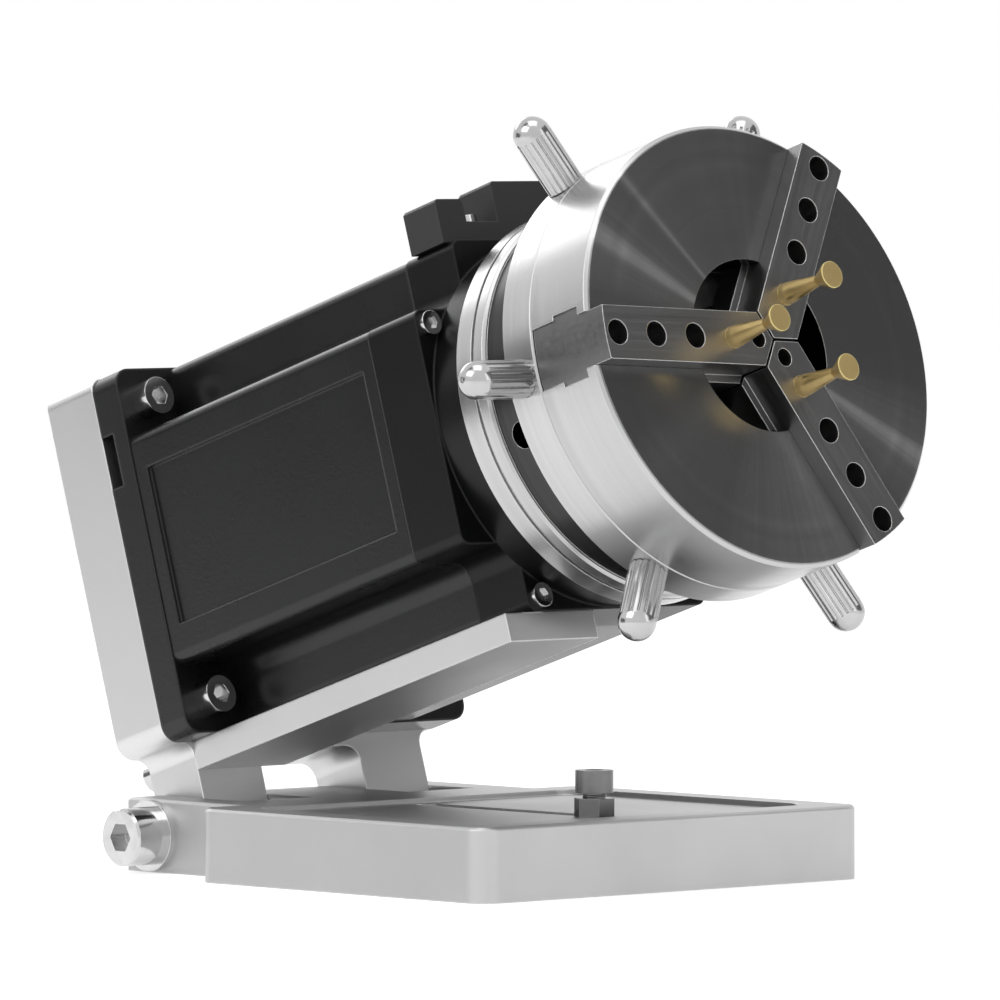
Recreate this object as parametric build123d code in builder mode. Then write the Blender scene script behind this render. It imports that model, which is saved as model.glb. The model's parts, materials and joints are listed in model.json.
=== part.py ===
from build123d import *
from math import asin, cos, degrees, pi, radians, sin
import os

# Laser rotary chuck on a tilting bracket, in millimetres, +Z up.
# The chuck points to -Y. The origin is under the middle of the base body.
# The tilted parts are drawn on planes square to the motor axis. Their local x is +X,
# their local y is "up the bracket", and their station is the distance from the pivot
# along the motor axis. Every station below is named after what ends there.

# Driving sizes
CHUCK_D = 100.0              # the nominal size of the chuck
MOTOR_SIDE = 85.0            # a motor of the 86 class
MOTOR_BOLTS = 69.6           # hole spacing of that class
TILT = 17.5                  # degrees, the motor axis above the horizontal in the photo
JAW_TURN = -3.0              # degrees, how far the chuck is turned in the photo
RUN_FIT = 0.05               # radial clearance where one piece turns in another
SLIDE_GAP = 0.05             # clearance on each side of a jaw
RING_PLAY = 0.05             # clearance in front of the lever ring and behind it
SIDE_GAP = 0.2               # between the bracket's legs and the base's lugs

# Base
BASE_W = 116.0
BASE_L = 93.0
BASE_H = 16.5
BASE_CORNER = 5.0
POCKET_RIM = 8.5
POCKET_DEPTH = 1.2
SLOT_W = 5.5
SLOT_FRONT = 17.5 - BASE_L / 2
SLOT_REAR = BASE_L / 2 - 10.5
TSLOT_W = 10.0
TSLOT_H = 5.6
CLAMP_Y = SLOT_FRONT + 8.5

# Pivot and bracket
PIVOT_Y = BASE_L / 2 + 30.0
PIVOT_Z = BASE_H / 2
PLATE_T = 16.0
PLATE_HALF = MOTOR_SIDE / 2
AXIS_H = 61.7                # from the pivot up the bracket to the motor axis
LEG_IN = 15.2
LEG_OUT = 34.3
WINDOW_TOP = 16.4
SHOULDER = AXIS_H - PLATE_HALF
STEP_W = PLATE_HALF - LEG_OUT  # how far the plate stands out past each leg
LUG_OUT = 44.5
PIVOT_R = 4.0
ARM_IN = 8.0                 # the support arm's inner edge, measured from the middle
ARM_T = 6.5
ARM_SCREW_X = (4.8 - LEG_OUT, 14.3 - LEG_OUT)
ARM_SLOTS = (40.0, 85.0)     # stations of the middles of the arm's slots

# Stations along the motor axis, from the pivot
PLATE_BACK = -PLATE_T / 2
PLATE_FRONT = PLATE_T / 2
FLANGE_FRONT = PLATE_FRONT + 8.5
BODY_FRONT = 100.0
CAP_FRONT = 116.0
BOSS_FRONT = 125.0
ADAPTER_BACK = 126.6
ADAPTER_STEP = 136.2
RING_BACK = 148.0
RING_FRONT = 157.7
SCROLL_FACE = RING_FRONT - RING_PLAY
FACE = 175.8
JAW_BACK = RING_FRONT + 0.3
JAW_FRONT = FACE + 4.5
PIN_FRONT = JAW_FRONT + 15.0

# Motor
FLAT_HALF = 26.7             # half the flat on each side, between the corner notches
NOTCH_R = 5.0
RIDGE_R = 2.5                # rounding of the ridges beside each notch
PANEL_HALF = 18.2
STATOR_R = 36.0
ROTOR_R = 24.6
SHAFT_R = 10.0
TAIL_R = 7.0
BOSS_R = 42.0

# Chuck
CHUCK_R = CHUCK_D / 2
ADAPTER_R = 45.0
NECK_R = 44.0
HUB_R = 18.0
BORE_R = 12.0
RECESS_R = 19.5
RECESS_FLOOR = 166.0
PITCH = 5.0                  # radial travel of the jaws in one turn of the ring
SCROLL_START = 45.5
SCROLL_END = 19.6
GROOVE_W = 3.0
GROOVE_D = 2.8
TOOTH_W = 2.2
TOOTH_REACH = 7.0
JAW_W = 12.0
RAIL_W = 15.7
ROOT_W = 13.6
RAIL_BACK = 164.9
RAIL_FRONT = 172.5
JAW_TIP = 0.4
JAW_END = 49.6
PIN_HOLE = 12.0
PIN_R = 2.4
PIN_HEAD_R = 3.0
PIN_DEPTH = 8.0
JAW_HOLES = (23.3, 34.7, 46.0)
JAW_ANGLES = (60.0 + JAW_TURN, 180.0 + JAW_TURN, 300.0 + JAW_TURN)
HANDLE_R = 4.25
HANDLE_END = 67.5
HANDLE_AT = (RING_BACK + RING_FRONT) / 2

AXIS_DIR = Vector(0, -cos(radians(TILT)), sin(radians(TILT)))
UP_DIR = Vector(0, sin(radians(TILT)), cos(radians(TILT)))
PIVOT = Vector(0, PIVOT_Y, PIVOT_Z)


def bracket_plane(station):
    """A plane square to the motor axis, with its origin level with the pivot."""
    return Plane(origin=PIVOT + AXIS_DIR * station, x_dir=(1, 0, 0), z_dir=AXIS_DIR)


def axis_plane(station):
    """The same plane with its origin on the motor axis."""
    origin = PIVOT + UP_DIR * AXIS_H + AXIS_DIR * station
    return Plane(origin=origin, x_dir=(1, 0, 0), z_dir=AXIS_DIR)


def turned_plane(station, angle):
    """An axis plane whose local x points out at this angle, for a jaw or a handle."""
    flat = axis_plane(station)
    out = flat.x_dir * cos(radians(angle)) + flat.y_dir * sin(radians(angle))
    return Plane(origin=flat.origin, x_dir=out, z_dir=AXIS_DIR)


def radial_plane(station, angle, radius):
    """A plane that faces outwards at this angle and distance from the motor axis."""
    flat = turned_plane(station, angle)
    return Plane(origin=flat.origin + flat.x_dir * radius, x_dir=AXIS_DIR, z_dir=flat.x_dir)


def tube(plane, outer, inner, length, mode=Mode.ADD):
    """A disc or ring on a plane, grown along the plane's normal."""
    with BuildSketch(plane) as ring:
        Circle(outer)
        if inner > 0:
            Circle(inner, mode=Mode.SUBTRACT)
    extrude(ring.sketch, amount=length, mode=mode)


def cap_screw(plane, shank_r, shank_l, head_r, head_h, socket):
    """A socket head screw. The plane lies under its head and faces the head."""
    tube(plane, shank_r, 0, -shank_l)
    tube(plane, head_r, 0, head_h)
    with BuildSketch(plane.offset(head_h)) as key:
        RegularPolygon(socket / 2, 6, major_radius=False)
    extrude(key.sketch, amount=-head_h * 0.55, mode=Mode.SUBTRACT)


def motor_outline(side, flat):
    """A square with its four corners notched out, as the motor's laminations are."""
    Rectangle(side, side)
    notch = side / 2 - flat
    middle = flat + notch / 2
    with Locations((middle, middle), (-middle, middle), (-middle, -middle), (middle, -middle)):
        Rectangle(notch, notch, mode=Mode.SUBTRACT)
    inner = [v for v in vertices() if abs(abs(v.X) - flat) < 0.01 and abs(abs(v.Y) - flat) < 0.01]
    fillet(inner, radius=NOTCH_R)
    ridges = [v for v in vertices() if abs(max(abs(v.X), abs(v.Y)) - side / 2) < 0.01]
    fillet(ridges, radius=RIDGE_R)


# Base plate: a flat block with a shallow tray, a slot for the clamp and three rear lugs.
with BuildPart() as base_plate:
    with BuildSketch():
        RectangleRounded(BASE_W, BASE_L, BASE_CORNER)
        lug_l = PIVOT_Y + PIVOT_Z - BASE_L / 2
        with Locations((0, BASE_L / 2 + lug_l / 2 - 5)):
            Rectangle(2 * LUG_OUT, lug_l + 10)
        leg_middle = (LEG_IN + LEG_OUT) / 2
        with Locations((-leg_middle, BASE_L / 2 + 30), (leg_middle, BASE_L / 2 + 30)):
            Rectangle(LEG_OUT - LEG_IN + 2 * SIDE_GAP, 40, mode=Mode.SUBTRACT)
    extrude(amount=BASE_H)
    top_rim = faces().sort_by(Axis.Z)[-1].outer_wire().edges()
    chamfer(top_rim, length=0.6)
    with BuildSketch(Plane.XY.offset(BASE_H)):
        RectangleRounded(BASE_W - 2 * POCKET_RIM, BASE_L - 2 * POCKET_RIM, 6)
    extrude(amount=-POCKET_DEPTH, mode=Mode.SUBTRACT)
    with BuildSketch():
        with Locations((0, (SLOT_FRONT + SLOT_REAR) / 2)):
            SlotOverall(SLOT_REAR - SLOT_FRONT, SLOT_W, rotation=90)
    extrude(amount=BASE_H, mode=Mode.SUBTRACT)
    with BuildSketch():
        with Locations((0, (SLOT_FRONT + SLOT_REAR) / 2)):
            Rectangle(TSLOT_W, SLOT_REAR - SLOT_FRONT + 8)
    extrude(amount=TSLOT_H, mode=Mode.SUBTRACT)
    with BuildSketch(Plane(origin=(-BASE_W / 2, PIVOT_Y, PIVOT_Z), x_dir=(0, 1, 0), z_dir=(1, 0, 0))):
        Circle(PIVOT_R + RUN_FIT)
    extrude(amount=BASE_W, mode=Mode.SUBTRACT)
base_plate.part.label = "base_plate"

# Clamp in the base slot: a screw with a lock nut on the tray and a slide nut below.
NUT_H = 4.0
TRAY_Z = BASE_H - POCKET_DEPTH
CLAMP_HEAD_Z = TRAY_Z + NUT_H + 1.2
with BuildPart() as base_clamp_screw:
    head_plane = Plane(origin=(0, CLAMP_Y, CLAMP_HEAD_Z))
    cap_screw(head_plane, 2.5, CLAMP_HEAD_Z - 1.0, 4.25, 5.0, 4.0)
base_clamp_screw.part.label = "base_clamp_screw"

with BuildPart() as base_clamp_nut:
    with BuildSketch(Plane(origin=(0, CLAMP_Y, TRAY_Z))):
        RegularPolygon(4.0, 6, major_radius=False)
        Circle(2.5, mode=Mode.SUBTRACT)
    extrude(amount=NUT_H)
base_clamp_nut.part.label = "base_clamp_nut"

with BuildPart() as base_slide_nut:
    with BuildSketch(Plane(origin=(0, CLAMP_Y, TSLOT_H - 4.0))):
        Rectangle(TSLOT_W - 0.6, 10)
        Circle(2.5, mode=Mode.SUBTRACT)
    extrude(amount=4.0)
base_slide_nut.part.label = "base_slide_nut"

# Pivot: one long bolt through lugs and legs, a washer under each end, and a nut.
WASHER_T = 1.6
with BuildPart() as pivot_bolt:
    under_head = -LUG_OUT - WASHER_T
    bolt_plane = Plane(origin=(under_head, PIVOT_Y, PIVOT_Z), x_dir=(0, 1, 0), z_dir=(-1, 0, 0))
    cap_screw(bolt_plane, PIVOT_R, 2 * (LUG_OUT + WASHER_T) + 9.0, 6.5, 8.0, 6.0)
    chamfer(faces().sort_by(Axis.X)[0].outer_wire().edges(), length=0.5)
pivot_bolt.part.label = "pivot_bolt"

with BuildPart() as pivot_washers:
    for side in (-1, 1):
        washer_plane = Plane(origin=(side * LUG_OUT, PIVOT_Y, PIVOT_Z), x_dir=(0, 1, 0), z_dir=(side, 0, 0))
        tube(washer_plane, 8.0, PIVOT_R, WASHER_T)
pivot_washers.part.label = "pivot_washers"

with BuildPart() as pivot_nut:
    nut_plane = Plane(origin=(LUG_OUT + WASHER_T, PIVOT_Y, PIVOT_Z), x_dir=(0, 1, 0), z_dir=(1, 0, 0))
    with BuildSketch(nut_plane):
        RegularPolygon(6.5, 6, major_radius=False)
        Circle(PIVOT_R, mode=Mode.SUBTRACT)
    extrude(amount=6.5)
pivot_nut.part.label = "pivot_nut"

# Tilting bracket: a thick plate behind the motor that runs down into two legs.
with BuildPart() as tilt_bracket:
    with BuildSketch(bracket_plane(PLATE_BACK)) as bracket_outline:
        with Locations((0, AXIS_H)):
            Rectangle(2 * PLATE_HALF, 2 * PLATE_HALF)
        with Locations((-(LEG_IN + LEG_OUT) / 2, SHOULDER / 2), ((LEG_IN + LEG_OUT) / 2, SHOULDER / 2)):
            Rectangle(LEG_OUT - LEG_IN, SHOULDER)
        with Locations((0, SHOULDER / 2 + 1)):
            Rectangle(2 * LEG_IN + 2, SHOULDER)
        with Locations((0, WINDOW_TOP / 2 - 1)):
            Rectangle(2 * LEG_IN, WINDOW_TOP + 2, mode=Mode.SUBTRACT)
        top = [v for v in vertices() if v.Y > AXIS_H]
        fillet(top, radius=3)
        outer = [v for v in vertices() if abs(abs(v.X) - PLATE_HALF) < 0.01 and abs(v.Y - SHOULDER) < 0.01]
        fillet(outer, radius=min(4.5, 0.55 * STEP_W))
        inner = [v for v in vertices() if abs(abs(v.X) - LEG_OUT) < 0.01 and abs(v.Y - SHOULDER) < 0.01]
        fillet(inner, radius=min(3.5, 0.43 * STEP_W))
        arch = [v for v in vertices() if abs(v.Y - WINDOW_TOP) < 0.01]
        fillet(arch, radius=4)
    extrude(amount=PLATE_T)
    for side in (-1, 1):
        leg_plane = Plane(origin=(side * LEG_IN, PIVOT_Y, PIVOT_Z), x_dir=(0, 1, 0), z_dir=(side, 0, 0))
        tube(leg_plane, PLATE_T / 2, 0, LEG_OUT - LEG_IN)
        tube(leg_plane, PIVOT_R + RUN_FIT, 0, LEG_OUT - LEG_IN, mode=Mode.SUBTRACT)
    tube(axis_plane(PLATE_BACK), 12.0, 0, PLATE_T, mode=Mode.SUBTRACT)
    with BuildSketch(axis_plane(PLATE_FRONT)):
        with GridLocations(MOTOR_BOLTS, MOTOR_BOLTS, 2, 2):
            Circle(2.5)
    extrude(amount=-12, mode=Mode.SUBTRACT)
    with BuildSketch(bracket_plane(PLATE_BACK)):
        with Locations(*[(x, SHOULDER - ARM_T / 2) for x in ARM_SCREW_X]):
            Circle(2.0)
    extrude(amount=PLATE_T, mode=Mode.SUBTRACT)
tilt_bracket.part.label = "tilt_bracket"

# Support arm: a flat bar under the motor, screwed to the left leg from behind.
ARM_FRONT = CAP_FRONT
with BuildPart() as support_arm:
    with BuildSketch(bracket_plane(PLATE_FRONT)):
        with Locations((-(LEG_OUT + ARM_IN) / 2, SHOULDER - ARM_T / 2)):
            Rectangle(LEG_OUT - ARM_IN, ARM_T)
    extrude(amount=ARM_FRONT - PLATE_FRONT)
    slot_plane = Plane(origin=PIVOT + UP_DIR * SHOULDER, x_dir=AXIS_DIR, z_dir=UP_DIR)
    with BuildSketch(slot_plane) as arm_slots:
        with Locations(*[(station, (LEG_OUT + ARM_IN) / 2 - 6) for station in ARM_SLOTS]):
            SlotOverall(26, 5.5)
    extrude(amount=-ARM_T, mode=Mode.SUBTRACT)
    with BuildSketch(bracket_plane(PLATE_FRONT)):
        with Locations(*[(x, SHOULDER - ARM_T / 2) for x in ARM_SCREW_X]):
            Circle(2.0)
    extrude(amount=10, mode=Mode.SUBTRACT)
support_arm.part.label = "support_arm"

with BuildPart() as arm_screws:
    for x in ARM_SCREW_X:
        spot = bracket_plane(PLATE_BACK).from_local_coords(Vector(x, SHOULDER - ARM_T / 2, 0))
        back = Plane(origin=spot, x_dir=(1, 0, 0), z_dir=AXIS_DIR * -1)
        cap_screw(back, 2.0, PLATE_T + 9.0, 3.5, 4.0, 3.0)
arm_screws.part.label = "arm_screws"

# Motor rear flange: a square plate with a spigot that holds the rear bearing.
REAR_BEARING = (PLATE_FRONT + 3.0, PLATE_FRONT + 14.0)
with BuildPart() as motor_rear_flange:
    with BuildSketch(axis_plane(PLATE_FRONT)):
        RectangleRounded(MOTOR_SIDE, MOTOR_SIDE, 4)
        with GridLocations(MOTOR_BOLTS, MOTOR_BOLTS, 2, 2):
            Circle(2.75, mode=Mode.SUBTRACT)
        with Locations((-MOTOR_SIDE / 2 + 4, 22.5)):
            Rectangle(8.01, 12, mode=Mode.SUBTRACT)
    extrude(amount=4)
    with BuildSketch(axis_plane(PLATE_FRONT + 4)):
        RectangleRounded(MOTOR_SIDE, MOTOR_SIDE, 4)
        with GridLocations(MOTOR_BOLTS, MOTOR_BOLTS, 2, 2):
            Circle(2.75, mode=Mode.SUBTRACT)
    extrude(amount=FLANGE_FRONT - PLATE_FRONT - 4)
    tube(axis_plane(FLANGE_FRONT), STATOR_R, 0, 7)
    tube(axis_plane(PLATE_FRONT), TAIL_R + 1, 0, 30, mode=Mode.SUBTRACT)
    tube(axis_plane(REAR_BEARING[0]), 17.5, 0, 30, mode=Mode.SUBTRACT)
motor_rear_flange.part.label = "motor_rear_flange"

with BuildPart() as flange_screws:
    for x in (-MOTOR_BOLTS / 2, MOTOR_BOLTS / 2):
        for y in (-MOTOR_BOLTS / 2, MOTOR_BOLTS / 2):
            spot = axis_plane(FLANGE_FRONT).from_local_coords(Vector(x, y, 0))
            cap_screw(Plane(origin=spot, x_dir=(1, 0, 0), z_dir=AXIS_DIR), 2.5, 18.0, 4.25, 5.0, 4.0)
flange_screws.part.label = "flange_screws"

# Motor body: the notched housing round the stator, with a sunk panel on each side.
with BuildPart() as motor_body:
    with BuildSketch(axis_plane(FLANGE_FRONT)):
        motor_outline(MOTOR_SIDE - 0.6, FLAT_HALF)
    extrude(amount=BODY_FRONT - FLANGE_FRONT)
    tube(axis_plane(FLANGE_FRONT), STATOR_R, 0, BODY_FRONT - FLANGE_FRONT, mode=Mode.SUBTRACT)
    for side in (-1, 1):
        face_origin = axis_plane(0).origin + Vector(side * (MOTOR_SIDE / 2 - 0.3), 0, 0)
        side_plane = Plane(origin=face_origin, x_dir=AXIS_DIR, z_dir=(side, 0, 0))
        with BuildSketch(side_plane):
            with Locations(((FLANGE_FRONT + BODY_FRONT) / 2, 0)):
                Rectangle(BODY_FRONT - FLANGE_FRONT - 8, 2 * PANEL_HALF)
        extrude(amount=-1.0, mode=Mode.SUBTRACT)
motor_body.part.label = "motor_body"

CAP_SCREW_R = 1.5
CAP_SCREW_L = 12.0
CONN_BACK = 102.7
CONN_FRONT = 113.5
CONN_BASE_H = 4.8
CONN_SCREW_X = 13.7
CONN_SCREW_R = 1.5
CONN_SCREW_L = 8.0
TOP = MOTOR_SIDE / 2


def cap_screw_plane(turn):
    """Under the head of one of the front cap's four screws, a quarter turn apart."""
    out = turned_plane(CAP_FRONT, 90 * turn)
    spot = out.from_local_coords(Vector(3.5 - MOTOR_SIDE / 2, FLAT_HALF - 3.5, 0))
    return Plane(origin=spot, x_dir=(1, 0, 0), z_dir=AXIS_DIR)


def conn_screw_plane(x):
    """Under the head of one of the connector's two screws."""
    spot = axis_plane((CONN_BACK + CONN_FRONT) / 2).from_local_coords(Vector(x, TOP + CONN_BASE_H, 0))
    return Plane(origin=spot, x_dir=(1, 0, 0), z_dir=UP_DIR)


# Motor front cap: the same outline, a round boss in front, and the front bearing's seat.
FRONT_BEARING = (BODY_FRONT - 2.0, BODY_FRONT + 10.0)
with BuildPart() as motor_front_cap:
    with BuildSketch(axis_plane(BODY_FRONT)):
        motor_outline(MOTOR_SIDE, FLAT_HALF)
    extrude(amount=CAP_FRONT - BODY_FRONT)
    tube(axis_plane(CAP_FRONT), BOSS_R, 0, BOSS_FRONT - CAP_FRONT)
    tube(axis_plane(BODY_FRONT - 5), STATOR_R, 0, 5)
    tube(axis_plane(BODY_FRONT - 5), SHAFT_R + 1.0, 0, 40, mode=Mode.SUBTRACT)
    tube(axis_plane(BODY_FRONT - 5), 21.0, 0, FRONT_BEARING[1] - BODY_FRONT + 5, mode=Mode.SUBTRACT)
    for turn in range(4):
        tube(cap_screw_plane(turn), CAP_SCREW_R, 0, -CAP_SCREW_L, mode=Mode.SUBTRACT)
    for x in (-CONN_SCREW_X, CONN_SCREW_X):
        tube(conn_screw_plane(x), CONN_SCREW_R, 0, -CONN_SCREW_L, mode=Mode.SUBTRACT)
motor_front_cap.part.label = "motor_front_cap"

with BuildPart() as cap_screws:
    for turn in range(4):
        cap_screw(cap_screw_plane(turn), CAP_SCREW_R, CAP_SCREW_L, 2.75, 1.6, 2.5)
cap_screws.part.label = "cap_screws"

# Inside the motor: the wound stator, the rotor on its shaft, and a bearing at each end.
STATOR_BACK = FLANGE_FRONT + 12
STATOR_FRONT = BODY_FRONT - 12
with BuildPart() as stator_core:
    with BuildSketch(axis_plane(STATOR_BACK)):
        Circle(STATOR_R)
        Circle(ROTOR_R + 0.3, mode=Mode.SUBTRACT)
        with PolarLocations(30.0, 8):
            Rectangle(9.0, 7.0, mode=Mode.SUBTRACT)
        with PolarLocations(26.0, 8):
            Rectangle(4.0, 3.0, mode=Mode.SUBTRACT)
    extrude(amount=STATOR_FRONT - STATOR_BACK)
stator_core.part.label = "stator_core"

with BuildPart() as stator_windings:
    with BuildSketch(axis_plane(STATOR_BACK - 4)):
        with PolarLocations(30.0, 8):
            Rectangle(8.8, 6.8)
    extrude(amount=STATOR_FRONT - STATOR_BACK + 8)
    for station in (STATOR_BACK - 4, STATOR_FRONT + 0.5):
        tube(axis_plane(station), 33.0, 27.0, 3.5)
stator_windings.part.label = "stator_windings"

with BuildPart() as rotor_core:
    with BuildSketch(axis_plane(STATOR_BACK)):
        Circle(ROTOR_R)
        Circle(SHAFT_R, mode=Mode.SUBTRACT)
        with PolarLocations(ROTOR_R, 24):
            Rectangle(2.0, 1.6, mode=Mode.SUBTRACT)
    extrude(amount=STATOR_FRONT - STATOR_BACK)
rotor_core.part.label = "rotor_core"

SHAFT_END = RING_BACK - 1.0
with BuildPart() as motor_shaft:
    tube(axis_plane(REAR_BEARING[0] - 1), TAIL_R, 0, SHAFT_END - REAR_BEARING[0] + 1)
    tube(axis_plane(REAR_BEARING[1]), SHAFT_R, 0, SHAFT_END - REAR_BEARING[1])
    tube(axis_plane(STATOR_BACK - 3), SHAFT_R + 2.0, 0, 3)
    chamfer(faces().sort_by(Axis(PIVOT, AXIS_DIR))[-1].outer_wire().edges(), length=0.8)
motor_shaft.part.label = "motor_shaft"


def bearing(station, bore, outer, width, balls):
    """A deep groove bearing: an inner ring, an outer ring and balls between them."""
    middle = (bore + outer) / 2
    gap = (outer - bore) / 6
    tube(axis_plane(station), outer, middle + gap, width)
    tube(axis_plane(station), middle - gap, bore, width)
    centre = axis_plane(station + width / 2)
    for turn in range(balls):
        angle = 2 * pi * turn / balls
        spot = centre.from_local_coords(Vector(middle * cos(angle), middle * sin(angle), 0))
        with Locations(spot):
            Sphere(gap * 0.96)


with BuildPart() as rear_bearing:
    bearing(REAR_BEARING[0], TAIL_R + RUN_FIT, 17.5, REAR_BEARING[1] - REAR_BEARING[0], 7)
rear_bearing.part.label = "rear_bearing"

with BuildPart() as front_bearing:
    bearing(FRONT_BEARING[0], SHAFT_R + RUN_FIT, 21.0, FRONT_BEARING[1] - FRONT_BEARING[0], 8)
front_bearing.part.label = "front_bearing"

# Connector on top of the front cap: a low block with three raised lumps.
with BuildPart() as connector_housing:
    with BuildSketch(axis_plane(CONN_BACK)):
        with Locations((0, TOP + CONN_BASE_H / 2)):
            Rectangle(2 * FLAT_HALF, CONN_BASE_H)
        with Locations((-(FLAT_HALF + 18.4) / 2, TOP + 5), ((FLAT_HALF + 18.4) / 2, TOP + 5)):
            Rectangle(FLAT_HALF - 18.4, 10)
        with Locations((0, TOP + 7)):
            Rectangle(18.0, 14)
        soft = [v for v in vertices() if v.Y > TOP + 6]
        chamfer(soft, length=0.7)
    extrude(amount=CONN_FRONT - CONN_BACK)
    with BuildSketch(axis_plane(CONN_BACK)):
        with Locations((0, TOP + 7.5)):
            RectangleRounded(14.0, 8.5, 0.8)
    extrude(amount=7.0, mode=Mode.SUBTRACT)
    for x in (-CONN_SCREW_X, CONN_SCREW_X):
        tube(conn_screw_plane(x), CONN_SCREW_R, 0, -CONN_BASE_H, mode=Mode.SUBTRACT)
connector_housing.part.label = "connector_housing"

with BuildPart() as connector_insert:
    with BuildSketch(axis_plane(CONN_BACK + 4.5)):
        with Locations((0, TOP + 7.5)):
            RectangleRounded(14.0, 8.5, 0.8)
    extrude(amount=2.5)
    with BuildSketch(axis_plane(CONN_BACK + 0.8)):
        with Locations((0, TOP + 7.5)):
            with GridLocations(3.2, 3.6, 4, 2):
                Circle(0.5)
    extrude(amount=3.7)
connector_insert.part.label = "connector_insert"

with BuildPart() as connector_screws:
    for x in (-CONN_SCREW_X, CONN_SCREW_X):
        cap_screw(conn_screw_plane(x), CONN_SCREW_R, CONN_SCREW_L, 2.75, 2.4, 2.5)
connector_screws.part.label = "connector_screws"

# Adapter on the shaft: a flange, a neck with three grub screws, and bolts into the chuck.
GRUB_ANGLES = tuple(angle + 15.5 for angle in JAW_ANGLES)
GRUB_AT = 142.0
BOLT_ANGLES = tuple(angle + 60 for angle in JAW_ANGLES)
BOLT_PCR = 15.0
with BuildPart() as chuck_adapter:
    tube(axis_plane(ADAPTER_BACK), ADAPTER_R, SHAFT_R, ADAPTER_STEP - ADAPTER_BACK)
    rims = edges().filter_by(GeomType.CIRCLE).filter_by(lambda e: abs(e.radius - ADAPTER_R) < 0.01)
    chamfer(rims, length=0.6)
    tube(axis_plane(132.0), ADAPTER_R + 1, ADAPTER_R - 0.8, 0.9, mode=Mode.SUBTRACT)
    tube(axis_plane(ADAPTER_STEP), NECK_R, SHAFT_R, RING_BACK - ADAPTER_STEP)
    for angle in GRUB_ANGLES:
        tube(radial_plane(GRUB_AT, angle, NECK_R + 1), 3.0, 0, -(NECK_R + 1 - SHAFT_R), mode=Mode.SUBTRACT)
    for angle in BOLT_ANGLES:
        spot = turned_plane(ADAPTER_BACK, angle).from_local_coords(Vector(BOLT_PCR, 0, 0))
        back = Plane(origin=spot, x_dir=(1, 0, 0), z_dir=AXIS_DIR)
        tube(back, 2.0, 0, RING_BACK - ADAPTER_BACK, mode=Mode.SUBTRACT)
        tube(back, 3.8, 0, 5.0, mode=Mode.SUBTRACT)
chuck_adapter.part.label = "chuck_adapter"

with BuildPart() as adapter_grub_screws:
    for angle in GRUB_ANGLES:
        tube(radial_plane(GRUB_AT, angle, SHAFT_R + 12), 3.0, 0, -12.0)
        with BuildSketch(radial_plane(GRUB_AT, angle, SHAFT_R + 12)) as key:
            RegularPolygon(1.5, 6, major_radius=False)
        extrude(key.sketch, amount=-4, mode=Mode.SUBTRACT)
adapter_grub_screws.part.label = "adapter_grub_screws"

with BuildPart() as adapter_bolts:
    for angle in BOLT_ANGLES:
        spot = turned_plane(ADAPTER_BACK + 5.0, angle).from_local_coords(Vector(BOLT_PCR, 0, 0))
        cap_screw(Plane(origin=spot, x_dir=(1, 0, 0), z_dir=AXIS_DIR * -1), 2.0, 25.0, 3.5, 4.0, 3.0)
adapter_bolts.part.label = "adapter_bolts"

# Chuck body: a disc on a hollow hub, with three stepped slots for the jaws.
with BuildPart() as chuck_body:
    tube(axis_plane(RING_FRONT), CHUCK_R, 0, FACE - RING_FRONT)
    front_rim = faces().sort_by(Axis(PIVOT, AXIS_DIR))[-1].outer_wire().edges()
    chamfer(front_rim, length=0.9)
    tube(axis_plane(RING_BACK), HUB_R, 0, RING_FRONT - RING_BACK)
    tube(axis_plane(RING_BACK), BORE_R, 0, FACE - RING_BACK, mode=Mode.SUBTRACT)
    tube(axis_plane(RECESS_FLOOR), RECESS_R, 0, FACE - RECESS_FLOOR, mode=Mode.SUBTRACT)
    steps = ((RING_FRONT, RAIL_BACK, ROOT_W), (RAIL_BACK, RAIL_FRONT, RAIL_W), (RAIL_FRONT, FACE, JAW_W))
    for angle in JAW_ANGLES:
        for back, front, width in steps:
            room = SLIDE_GAP if width == RAIL_W else 0
            with BuildSketch(turned_plane(back - room, angle)):
                with Locations((CHUCK_R / 2 + 5, 0)):
                    Rectangle(CHUCK_R + 10, width + 2 * SLIDE_GAP)
            extrude(amount=front - back + 2 * room, mode=Mode.SUBTRACT)
    for angle in BOLT_ANGLES:
        spot = turned_plane(RING_BACK, angle).from_local_coords(Vector(BOLT_PCR, 0, 0))
        tube(Plane(origin=spot, x_dir=(1, 0, 0), z_dir=AXIS_DIR), 2.0, 0, 10.0, mode=Mode.SUBTRACT)
chuck_body.part.label = "chuck_body"


def scroll_radius(turns):
    """The middle of the scroll groove after this many turns, counted anticlockwise."""
    return SCROLL_START - PITCH * turns


def spiral(offset, count):
    """Points along one wall of the scroll groove."""
    total = (SCROLL_START - SCROLL_END) / PITCH
    points = []
    for step in range(count + 1):
        turns = total * step / count
        radius = scroll_radius(turns) + offset
        points.append((radius * cos(2 * pi * turns), radius * sin(2 * pi * turns)))
    return points


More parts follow.
